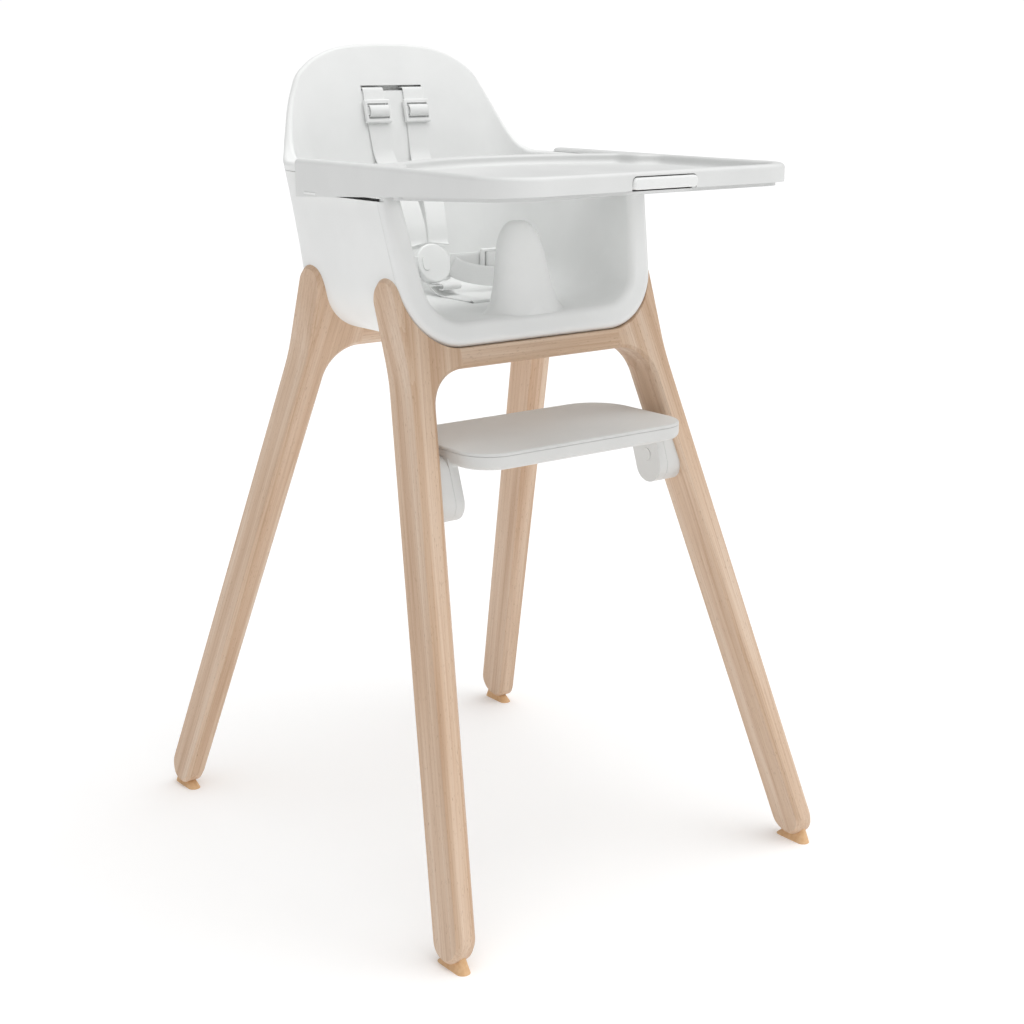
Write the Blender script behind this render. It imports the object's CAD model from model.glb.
import math

import bmesh
import bpy
from mathutils import Matrix, Vector


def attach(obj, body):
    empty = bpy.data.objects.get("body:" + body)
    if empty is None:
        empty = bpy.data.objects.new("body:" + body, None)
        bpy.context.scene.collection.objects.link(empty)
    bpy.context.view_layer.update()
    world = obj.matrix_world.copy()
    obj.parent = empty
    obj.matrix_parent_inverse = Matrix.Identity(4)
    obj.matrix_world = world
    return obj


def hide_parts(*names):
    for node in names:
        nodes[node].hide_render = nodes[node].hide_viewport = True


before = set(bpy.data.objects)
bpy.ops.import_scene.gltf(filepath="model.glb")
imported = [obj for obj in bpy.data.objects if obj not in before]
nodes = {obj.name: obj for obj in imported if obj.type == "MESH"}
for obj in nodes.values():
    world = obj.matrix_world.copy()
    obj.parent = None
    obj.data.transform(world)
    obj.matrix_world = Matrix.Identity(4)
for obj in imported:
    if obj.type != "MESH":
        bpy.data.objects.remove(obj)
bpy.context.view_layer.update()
MM = 0.001                      # a millimetre in the scene's metres
UP = Vector((0, 0, 1))


# ---------------------------------------------------------------- small tools

def linear(code):
    """An sRGB hex colour as linear red, green, blue and full alpha."""
    values = [int(code[i:i + 2], 16) / 255 for i in (1, 3, 5)]
    return tuple(v / 12.92 if v <= 0.04045 else ((v + 0.055) / 1.055) ** 2.4
                 for v in values) + (1.0,)


def feed(material, node, inputs):
    """Gives a node's sockets, by name or number, a value or another node's output."""
    for key, value in inputs.items():
        if isinstance(value, bpy.types.NodeSocket):
            material.node_tree.links.new(value, node.inputs[key])
        else:
            node.inputs[key].default_value = value


def add(material, kind, inputs=None, stops=None, **settings):
    """Adds one node: settings are its properties, inputs its sockets by name or number, and stops
    the (position, hex colour) pairs of a colour ramp."""
    made = material.node_tree.nodes.new(kind)
    for key, value in settings.items():
        setattr(made, key, value)
    feed(material, made, inputs or {})
    if stops:
        elements = made.color_ramp.elements
        while len(elements) < len(stops):
            elements.new(0.5)
        for element, (place, code) in zip(elements, stops):
            element.position = place
            element.color = linear(code)
    return made


def per_mm(size):
    """Noise scale whose patches are about this many millimetres."""
    return 1000.0 / size


def bands_mm(pitch):
    """Wave scale whose bands repeat every so many millimetres."""
    return 2 * math.pi / (20 * pitch * MM)


def blank(name):
    """A new material and its shader."""
    material = bpy.data.materials.new(name)
    material.use_nodes = True
    return material, material.node_tree.nodes["Principled BSDF"]


def surface(name):
    """A new material with its shader and the object coordinates."""
    material, shader = blank(name)
    return material, shader, add(material, "ShaderNodeTexCoord").outputs["Object"]


# ---------------------------------------------------------------- materials

CLEAR_IOR = 1.5                 # of the lacquer and of the moulded plastics


def lacquered_beech(name, grain, shift):
    """Solid beech planed, sanded and given a thin matt lacquer: warm pale strips with straight
    grain and short dark rays along it, and a soft sheen that is a little uneven with the grain.
    Real fibres and rays are finer than these, which are drawn as coarse as they need to show."""
    # millimetres across the grain, and the share by which the pattern is drawn out along it
    strip_wide, strip_share = 17, 0.035
    fibre_wide, fibre_share = 1.6, 0.012
    ray_wide, ray_share = 0.9, 0.13
    ring_pitch = 5.5

    wood, shader, where = surface(name)
    turn = Vector(grain).normalized().rotation_difference(UP).to_euler()
    along = add(wood, "ShaderNodeMapping",
                {"Vector": where, "Rotation": turn, "Location": shift}).outputs[0]

    # strips about half a metre long, each with its own tone
    strip_map = add(wood, "ShaderNodeMapping",
                    {"Vector": along, "Scale": (1, 1, strip_share)}).outputs[0]
    tone = add(wood, "ShaderNodeTexNoise",
               {"Vector": strip_map, "Scale": per_mm(strip_wide), "Detail": 1.5, "Roughness": 0.45})
    tint = add(wood, "ShaderNodeValToRGB", {"Fac": tone.outputs["Fac"]},
               stops=((0.30, "#d0b094"), (0.45, "#dabda2"), (0.58, "#e1c7af"), (0.72, "#e8d2bd")))

    # year rings, bent a little
    rings = add(wood, "ShaderNodeTexWave",
                {"Vector": strip_map, "Scale": bands_mm(ring_pitch), "Distortion": 5.0,
                 "Detail": 2.0, "Detail Scale": 1.2, "Detail Roughness": 0.55},
                wave_type="RINGS", rings_direction="Z", wave_profile="SAW")
    ring_shade = add(wood, "ShaderNodeValToRGB", {"Fac": rings.outputs["Fac"]},
                     stops=((0.0, "#ffffff"), (0.75, "#f6f0ea"), (1.0, "#eadccf")))
    ringed = add(wood, "ShaderNodeMix",
                 {0: 0.55, 6: tint.outputs["Color"], 7: ring_shade.outputs["Color"]},
                 data_type="RGBA", blend_type="MULTIPLY").outputs[2]

    # fibre lines
    fibre_map = add(wood, "ShaderNodeMapping",
                    {"Vector": along, "Scale": (1, 1, fibre_share)}).outputs[0]
    fibre = add(wood, "ShaderNodeTexNoise",
                {"Vector": fibre_map, "Scale": per_mm(fibre_wide), "Detail": 3.0,
                 "Roughness": 0.6}).outputs["Fac"]
    fibre_shade = add(wood, "ShaderNodeValToRGB", {"Fac": fibre},
                      stops=((0.32, "#dccab8"), (0.52, "#ffffff")))
    lined = add(wood, "ShaderNodeMix", {0: 0.42, 6: ringed, 7: fibre_shade.outputs["Color"]},
                data_type="RGBA", blend_type="MULTIPLY").outputs[2]

    # rays: dark flecks some 7 mm long
    ray_map = add(wood, "ShaderNodeMapping",
                  {"Vector": along, "Scale": (1, 1, ray_share)}).outputs[0]
    ray = add(wood, "ShaderNodeTexNoise",
              {"Vector": ray_map, "Scale": per_mm(ray_wide), "Detail": 1.0})
    ray_mask = add(wood, "ShaderNodeMapRange",
                   {"Value": ray.outputs["Fac"], "From Min": 0.66, "From Max": 0.74,
                    "To Max": 0.55}).outputs[0]
    flecked = add(wood, "ShaderNodeMix", {0: ray_mask, 6: lined, 7: linear("#a5805f")},
                  data_type="RGBA").outputs[2]

    rough = add(wood, "ShaderNodeMapRange",
                {"Value": fibre, "To Min": 0.42, "To Max": 0.58}).outputs[0]
    grain_bump = add(wood, "ShaderNodeBump",
                     {"Height": fibre, "Strength": 0.25, "Distance": 0.08 * MM}).outputs[0]
    feed(wood, shader, {"Base Color": flecked, "Roughness": rough, "Normal": grain_bump,
                        "IOR": CLEAR_IOR, "Coat Weight": 0.12, "Coat Roughness": 0.35})
    return wood


def plastic_body(name, colour, worn, rough):
    """Injection-moulded plastic before its mould finish: an even pale colour with slightly greyer
    patches, about 60 mm across, where hands polish it."""
    plastic, shader, where = surface(name)
    cloud = add(plastic, "ShaderNodeTexNoise",
                {"Vector": where, "Scale": per_mm(60), "Detail": 3.0}).outputs["Fac"]
    tint = add(plastic, "ShaderNodeValToRGB", {"Fac": cloud},
               stops=((0.35, worn), (0.62, colour))).outputs["Color"]
    polish = add(plastic, "ShaderNodeMapRange",
                 {"Value": cloud, "From Min": 0.3, "From Max": 0.7,
                  "To Min": rough - 0.04, "To Max": rough + 0.04}).outputs[0]
    feed(plastic, shader, {"Base Color": tint, "Roughness": polish, "IOR": CLEAR_IOR})
    return plastic, shader, where


def moulded_plastic(name, colour, worn, rough, grit, depth):
    """Plastic from a spark-eroded mould: a fine leathery grit that softens every highlight. Grit
    and depth are in millimetres, the grit coarser than the real one so that it shows."""
    plastic, shader, where = plastic_body(name, colour, worn, rough)
    pits = add(plastic, "ShaderNodeTexNoise",
               {"Vector": where, "Scale": per_mm(grit), "Detail": 2.0, "Roughness": 0.6})
    bump = add(plastic, "ShaderNodeBump",
               {"Height": pits.outputs["Fac"], "Strength": 0.35, "Distance": depth * MM})
    feed(plastic, shader, {"Normal": bump.outputs[0]})
    return plastic


def knurled_plastic(name, colour, rough, ridge_pitch, ridge_height, slant):
    """Moulded plastic with a diamond knurl for the fingers: two sets of ridges, slanted as many
    degrees each way, with their pitch and height in millimetres."""
    plastic, shader, where = plastic_body(name, colour, colour, rough)
    ridges = []
    for turn in (slant, -slant):
        slanted = add(plastic, "ShaderNodeMapping",
                      {"Vector": where, "Rotation": (0, math.radians(turn), 0)}).outputs[0]
        ridges.append(add(plastic, "ShaderNodeTexWave",
                          {"Vector": slanted, "Scale": bands_mm(ridge_pitch)},
                          bands_direction="X").outputs["Fac"])
    both = add(plastic, "ShaderNodeMath", {0: ridges[0], 1: ridges[1]},
               operation="MULTIPLY").outputs[0]
    bump = add(plastic, "ShaderNodeBump",
               {"Height": both, "Strength": 0.6, "Distance": ridge_height * MM})
    feed(plastic, shader, {"Normal": bump.outputs[0]})
    return plastic


def polyester_webbing(name):
    """Woven white polyester webbing: ribs across it crossed by fine warp yarns, and the soft sheen
    of filament yarn."""
    rib_pitch, yarn_pitch = 1.2, 0.9
    cloth, shader = blank(name)
    place = add(cloth, "ShaderNodeUVMap", uv_map="webbing").outputs[0]
    ribs = add(cloth, "ShaderNodeTexWave",
               {"Vector": place, "Scale": bands_mm(rib_pitch), "Distortion": 0.6},
               bands_direction="X")
    yarns = add(cloth, "ShaderNodeTexWave", {"Vector": place, "Scale": bands_mm(yarn_pitch)},
                bands_direction="Y")
    weave = add(cloth, "ShaderNodeMath", {0: ribs.outputs["Fac"], 1: yarns.outputs["Fac"]},
                operation="MULTIPLY").outputs[0]
    tint = add(cloth, "ShaderNodeValToRGB", {"Fac": weave},
               stops=((0.0, "#eff0ef"), (0.6, "#f8f9f8"))).outputs["Color"]
    bump = add(cloth, "ShaderNodeBump",
               {"Height": weave, "Strength": 0.25, "Distance": 0.1 * MM}).outputs[0]
    feed(cloth, shader, {"Base Color": tint, "Normal": bump, "Roughness": 0.7,
                         "Sheen Weight": 0.25, "Sheen Roughness": 0.4})
    return cloth


def zinc_plated_steel(name):
    """Turned and zinc-plated steel: bright grey with fine turning lines and dull patches in the
    plating. The lines are drawn coarser than real ones so that they show."""
    patch_size, line_pitch = 3, 0.4
    metal, shader, where = surface(name)
    patch = add(metal, "ShaderNodeTexNoise",
                {"Vector": where, "Scale": per_mm(patch_size), "Detail": 3.0}).outputs["Fac"]
    tint = add(metal, "ShaderNodeValToRGB", {"Fac": patch},
               stops=((0.35, "#a9acad"), (0.65, "#c6c9ca"))).outputs["Color"]
    rough = add(metal, "ShaderNodeMapRange",
                {"Value": patch, "To Min": 0.22, "To Max": 0.42}).outputs[0]
    lines = add(metal, "ShaderNodeTexWave",
                {"Vector": where, "Scale": bands_mm(line_pitch), "Distortion": 1.0},
                bands_direction="DIAGONAL")
    bump = add(metal, "ShaderNodeBump",
               {"Height": lines.outputs["Fac"], "Strength": 0.15,
                "Distance": 0.02 * MM}).outputs[0]
    feed(metal, shader, {"Base Color": tint, "Roughness": rough, "Normal": bump,
                         "Metallic": 1.0})
    return metal


def soft_foot_rubber(name):
    """Tan thermoplastic rubber: even and warm, with a dull skin, fine grit and faint scuffs."""
    scuff_size, grit_size = 5, 0.5
    rubber, shader, where = surface(name)
    scuff = add(rubber, "ShaderNodeTexNoise",
                {"Vector": where, "Scale": per_mm(scuff_size), "Detail": 4.0})
    tint = add(rubber, "ShaderNodeValToRGB", {"Fac": scuff.outputs["Fac"]},
               stops=((0.35, "#deb384"), (0.6, "#e8c093"))).outputs["Color"]
    grit = add(rubber, "ShaderNodeTexNoise",
               {"Vector": where, "Scale": per_mm(grit_size), "Detail": 1.0})
    bump = add(rubber, "ShaderNodeBump",
               {"Height": grit.outputs["Fac"], "Strength": 0.3, "Distance": 0.03 * MM}).outputs[0]
    feed(rubber, shader, {"Base Color": tint, "Normal": bump, "Roughness": 0.6})
    return rubber


def studio_paper(name):
    """A plain white paper sweep lit from behind: almost no colour, a faint fibre, a weak glow."""
    fibre_size = 4
    paper, shader, where = surface(name)
    fibre = add(paper, "ShaderNodeTexNoise",
                {"Vector": where, "Scale": per_mm(fibre_size), "Detail": 2.0})
    white = add(paper, "ShaderNodeValToRGB", {"Fac": fibre.outputs["Fac"]},
                stops=((0.3, "#f7f7f7"), (0.7, "#fafafa"))).outputs["Color"]
    feed(paper, shader, {"Base Color": white, "Roughness": 0.9, "Specular IOR Level": 0.1,
                         "Emission Color": linear("#ffffff"), "Emission Strength": 0.12})
    return paper


seat_plastic = moulded_plastic("polypropylene_spark_finish", "#f6f7f6", "#f3f4f3",
                               rough=0.5, grit=0.7, depth=0.03)
tray_plastic = moulded_plastic("abs_satin", "#e7e8e7", "#e4e5e4",
                               rough=0.42, grit=0.6, depth=0.02)
step_plastic = moulded_plastic("footrest_polypropylene", "#dfdfdd", "#dcdcda",
                               rough=0.5, grit=0.7, depth=0.03)
fitting_plastic = moulded_plastic("acetal_fittings", "#f7f8f7", "#f4f5f4",
                                  rough=0.36, grit=0.4, depth=0.012)
knurl_plastic = knurled_plastic("abs_knurled_lever", "#f6f7f6",
                                rough=0.42, ridge_pitch=1.8, ridge_height=0.45, slant=35.0)
webbing = polyester_webbing("polyester_webbing")
steel = zinc_plated_steel("zinc_plated_steel")
foot_rubber = soft_foot_rubber("tan_foot_rubber")


# ---------------------------------------------------------------- finishes of the CAD nodes

LEAN = 0.3415                   # a leg's run towards the seat for each unit of height
SPLAY = 0.1538                  # and its run inwards
LEGS = ("leg_front_left", "leg_front_right", "leg_rear_left", "leg_rear_right")
STEEL_PIECES = ("bracket_screws", "pad_screws", "tray_screws", "seat_bolts", "seat_washers",
                "seat_inserts", "footrest_pivot_left", "footrest_pivot_right")


def leg_grain(name):
    """The grain runs up the leg."""
    side = 1 if name.endswith("right") else -1
    end = 1 if "front" in name else -1
    return (-SPLAY * side, LEAN * end, 1.0)


def finish_of(name):
    """Which material a CAD node is given. Each wooden piece is cut from its own place in the
    timber, in metres, so that no two look alike."""
    if name in LEGS:
        order = LEGS.index(name)
        place = (0.137 * order + 0.03, 0.211 * order + 0.02, 0.5 * order)
        return lacquered_beech("beech_" + name, leg_grain(name), place)
    if name.startswith("crossbar") or name == "leg_dowels":
        place = (0.4, 0.9 if "front" in name else 0.3, 0.2)
        return lacquered_beech("beech_" + name, (1, 0, 0), place)
    if name.startswith("foot_pad"):
        return foot_rubber
    if name in ("seat_inner_shell", "seat_outer_shell"):
        return seat_plastic
    if name in ("tray_top", "tray_underside"):
        return tray_plastic
    if name.startswith(("footrest_top", "footrest_shell", "footrest_bracket", "footrest_button")):
        return step_plastic
    if name == "release_lever":
        return knurl_plastic
    if name in STEEL_PIECES:
        return steel
    return fitting_plastic


for name, node in nodes.items():
    node.data.materials.clear()
    node.data.materials.append(finish_of(name))


# ---------------------------------------------------------------- harness webbing

SHOULDER_WIDE = 30.0            # the harness is in millimetres
WAIST_WIDE = 25.0
CROTCH_WIDE = 27.0
LOOP_INSET = 2.0                # a loop is this much narrower than its strap
WEB_THICK = 1.5
WEB_GAP = 0.3                   # between webbing and what it lies on
WORN_EDGE = 0.35
EDGE_VERTS = 7                  # vertices across the width

SLOT_Z = 924.0                  # of the shoulder slots in the seat back
SLOT_X = 30.0
SEAT_FLOOR = 673.0
BACK_TILT = math.radians(13.8)  # of the seat back where the shoulder adjusters lie on it
SHOULDER_ADJUSTER = (29.7, 167.8, 896.0)
WAIST_ADJUSTER = (78.0, 78.45, 710.0)
# round the bars of an adjuster: (along the strap, out of its face)
LOOP = ((-6.4, -2.9), (-6.6, 0.0), (-6.3, 3.3), (-4.0, 5.2), (0.0, 6.0), (4.0, 5.2), (6.3, 3.3),
        (6.6, 0.0), (6.4, -2.9))


def eased(points, step):
    """Points every step along a smooth line through the given ones."""
    known = [Vector(p) * MM for p in points]
    ends = [2 * known[0] - known[1]] + known + [2 * known[-1] - known[-2]]
    line = []
    for before, start, stop, after in zip(ends, ends[1:], ends[2:], ends[3:]):
        count = max(1, round((stop - start).length / step))
        for i in range(count):
            t = i / count
            line.append(0.5 * ((2 * start) + (stop - before) * t
                               + (2 * before - 5 * start + 4 * stop - after) * t * t
                               + (3 * start - before - 3 * stop + after) * t ** 3))
    return line + [known[-1]]


def stations(line, across):
    """One frame per point: width direction, webbing normal and run direction."""
    frames = []
    for i, here in enumerate(line):
        run = (line[min(i + 1, len(line) - 1)] - line[max(i - 1, 0)]).normalized()
        wide = Vector(across) - run * run.dot(Vector(across))
        wide.normalize()
        spot = Matrix((wide, run.cross(wide), run)).transposed().to_4x4()
        spot.translation = here
        frames.append(spot)
    return frames


def strap(name, points, across, width, step=2.5):
    """A run of webbing: a row of edges across the width, drawn out along the line, then
    thickened. Its UV map is in metres along and across the strap."""
    frames = stations(eased(points, step * MM), across)
    work = bmesh.new()
    along = work.verts.layers.float.new("along")
    aside = work.verts.layers.float.new("aside")
    row = []
    for i in range(EDGE_VERTS):
        reach = (i / (EDGE_VERTS - 1) - 0.5) * width * MM
        vert = work.verts.new(frames[0] @ Vector((reach, 0, 0)))
        vert[aside] = reach
        row.append(vert)
    edges = [work.edges.new(pair) for pair in zip(row, row[1:])]
    gone = 0.0
    for old, new in zip(frames, frames[1:]):
        gone += (new.translation - old.translation).length
        made = bmesh.ops.extrude_edge_only(work, edges=edges)["geom"]
        verts = [g for g in made if isinstance(g, bmesh.types.BMVert)]
        fresh = set(verts)
        edges = [g for g in made if isinstance(g, bmesh.types.BMEdge) and fresh.issuperset(g.verts)]
        bmesh.ops.transform(work, matrix=new @ old.inverted(), verts=verts)
        for vert in verts:
            vert[along] = gone
    uv = work.loops.layers.uv.new("webbing")
    for face in work.faces:
        face.smooth = True
        for loop in face.loops:
            loop[uv].uv = (loop.vert[along], loop.vert[aside])
    mesh = bpy.data.meshes.new(name)
    work.to_mesh(mesh)
    work.free()
    piece = bpy.data.objects.new(name, mesh)
    bpy.context.scene.collection.objects.link(piece)
    mesh.materials.append(webbing)
    body = piece.modifiers.new("thickness", "SOLIDIFY")
    body.thickness = WEB_THICK * MM
    body.offset = 0.0
    edge = piece.modifiers.new("worn_edge", "BEVEL")
    edge.width = WORN_EDGE * MM
    edge.segments = 2
    edge.limit_method = "ANGLE"
    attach(piece, "chair")
    return piece


def loop_at(centre, down, front):
    """The points of a loop through an adjuster, from its centre, the way its strap runs and the
    way its face looks."""
    return [Vector(centre) + Vector(down) * run + Vector(front) * out for run, out in LOOP]


for side, hand in ((-1, "left"), (1, "right")):
    # from behind the seat back, through its slot and down to the buckle
    shoulder = strap("shoulder_webbing_" + hand,
                     [(side * SLOT_X, 190.3, SLOT_Z), (side * SLOT_X, 179.5, SLOT_Z),
                      (side * SLOT_X, 178.2, 922.4), (side * SLOT_X, 176.7, 918.0),
                      (side * SLOT_X, 172.6, 901.0), (side * 29.4, 167.5, 880.0),
                      (side * 28.4, 162.8, 860.0), (side * 27.0, 157.0, 840.0),
                      (side * 23.5, 141.0, 815.0), (side * 19.5, 121.0, 790.0),
                      (side * 17.0, 109.0, 760.0), (side * 16.2, 105.15, 737.8),
                      (side * 15.6, 102.85, 733.8)],
                     (1, 0, 0), SHOULDER_WIDE)
    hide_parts("shoulder_strap_" + hand)
    x, y, z = SHOULDER_ADJUSTER
    strap("shoulder_loop_" + hand,
          loop_at((side * x, y, z), (0, -math.sin(BACK_TILT), -math.cos(BACK_TILT)),
                  (0, -math.cos(BACK_TILT), math.sin(BACK_TILT))),
          (1, 0, 0), SHOULDER_WIDE - LOOP_INSET, step=1.2)

    # from the buckle, through its adjuster and out through the side of the seat
    waist = strap("waist_webbing_" + hand,
                  [(side * 25.3, 91.0, 709.0), (side * 40.0, 86.4, 709.0),
                   (side * 78.0, 82.0, 710.0), (side * 112.0, 86.0, 713.0),
                   (side * 138.0, 93.6, 715.0), (side * 159.0, 95.0, 715.5)],
                  (0, 0, 1), WAIST_WIDE)
    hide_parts("waist_strap_" + hand)
    # the slack below it, which leaves the strap near the buckle and meets it again
    strap("waist_tail_" + hand,
          [(side * 25.8, 89.3, 706.0), (side * 36.0, 83.0, 700.0), (side * 52.0, 74.0, 695.0),
           (side * 76.0, 69.0, 691.5), (side * 98.0, 74.0, 695.0), (side * 114.0, 84.4, 708.0)],
          (0, 0, 1), WAIST_WIDE)
    x, y, z = WAIST_ADJUSTER
    strap("waist_loop_" + hand,
          loop_at((side * x, y, z), (side, 0, 0), (0, -1, 0)),
          (0, 0, 1), WAIST_WIDE - LOOP_INSET, step=1.2)

# up through the seat floor, back along it and up to the buckle
lie = SEAT_FLOOR + WEB_GAP + WEB_THICK / 2
crotch = strap("crotch_webbing",
               [(0, -10.0, 664.0), (0, -10.0, SEAT_FLOOR), (0, -8.6, lie + 1.2),
                (0, -5.0, lie + 1.6), (0, 2.0, lie), (0, 50.0, lie), (0, 66.0, lie + 2.0),
                (0, 79.0, lie + 8.0), (0, 87.35, 685.8)],
               (1, 0, 0), CROTCH_WIDE)
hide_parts("crotch_strap")
# its folded end in front of the buckle
strap("crotch_tab",
      [(0, 80.0, 686.0), (0, 72.0, 688.5), (0, 62.0, 689.5), (0, 54.0, 688.0), (0, 51.5, 685.0),
       (0, 54.5, 682.5), (0, 62.0, 682.5)],
      (1, 0, 0), CROTCH_WIDE, step=1.5)


# ---------------------------------------------------------------- floor, light and camera

PAPER_HALF = 20.0               # metres, half a side of the sweep
FILL = 0.41                     # strength of the white room on the chair
BACKDROP = 1.02                 # and where the camera looks straight at it
SOFTBOX_POWER = 2.1
SOFTBOX_SPREAD = 75.0           # degrees, wide for soft shadows
SOFTBOX_FROM = (0.16, -0.28, 1.0)
LENS = 61.2                     # millimetres
SENSOR = 36.0
CAMERA_AT = (-1.26176, -1.70870, 0.970)
CAMERA_TILT = 75.1414           # degrees up from straight down
CAMERA_TURN = -37.5885          # degrees from the chair's front

sheet = bmesh.new()
bmesh.ops.create_grid(sheet, x_segments=4, y_segments=4, size=PAPER_HALF)
floor_mesh = bpy.data.meshes.new("paper_sweep")
sheet.to_mesh(floor_mesh)
sheet.free()
floor = bpy.data.objects.new("paper_sweep", floor_mesh)
bpy.context.scene.collection.objects.link(floor)
floor_mesh.materials.append(studio_paper("studio_paper"))

world = bpy.data.worlds.new("studio")
bpy.context.scene.world = world
world.use_nodes = True
seen = add(world, "ShaderNodeLightPath").outputs["Is Camera Ray"]
strength = add(world, "ShaderNodeMapRange",
               {"Value": seen, "To Min": FILL, "To Max": BACKDROP}).outputs[0]
feed(world, world.node_tree.nodes["Background"],
     {"Color": linear("#ffffff"), "Strength": strength})

softbox_data = bpy.data.lights.new("overhead_softbox", "SUN")
softbox_data.energy = SOFTBOX_POWER
softbox_data.angle = math.radians(SOFTBOX_SPREAD)
softbox = bpy.data.objects.new("overhead_softbox", softbox_data)
bpy.context.scene.collection.objects.link(softbox)
softbox.rotation_euler = Vector(SOFTBOX_FROM).to_track_quat("Z", "Y").to_euler()

camera_data = bpy.data.cameras.new("camera")
camera_data.lens = LENS
camera_data.sensor_width = SENSOR
camera = bpy.data.objects.new("camera", camera_data)
camera.location = CAMERA_AT
camera.rotation_euler = (math.radians(CAMERA_TILT), 0.0, math.radians(CAMERA_TURN))
bpy.context.scene.collection.objects.link(camera)
bpy.context.scene.camera = camera
bpy.context.scene.view_settings.view_transform = "Standard"
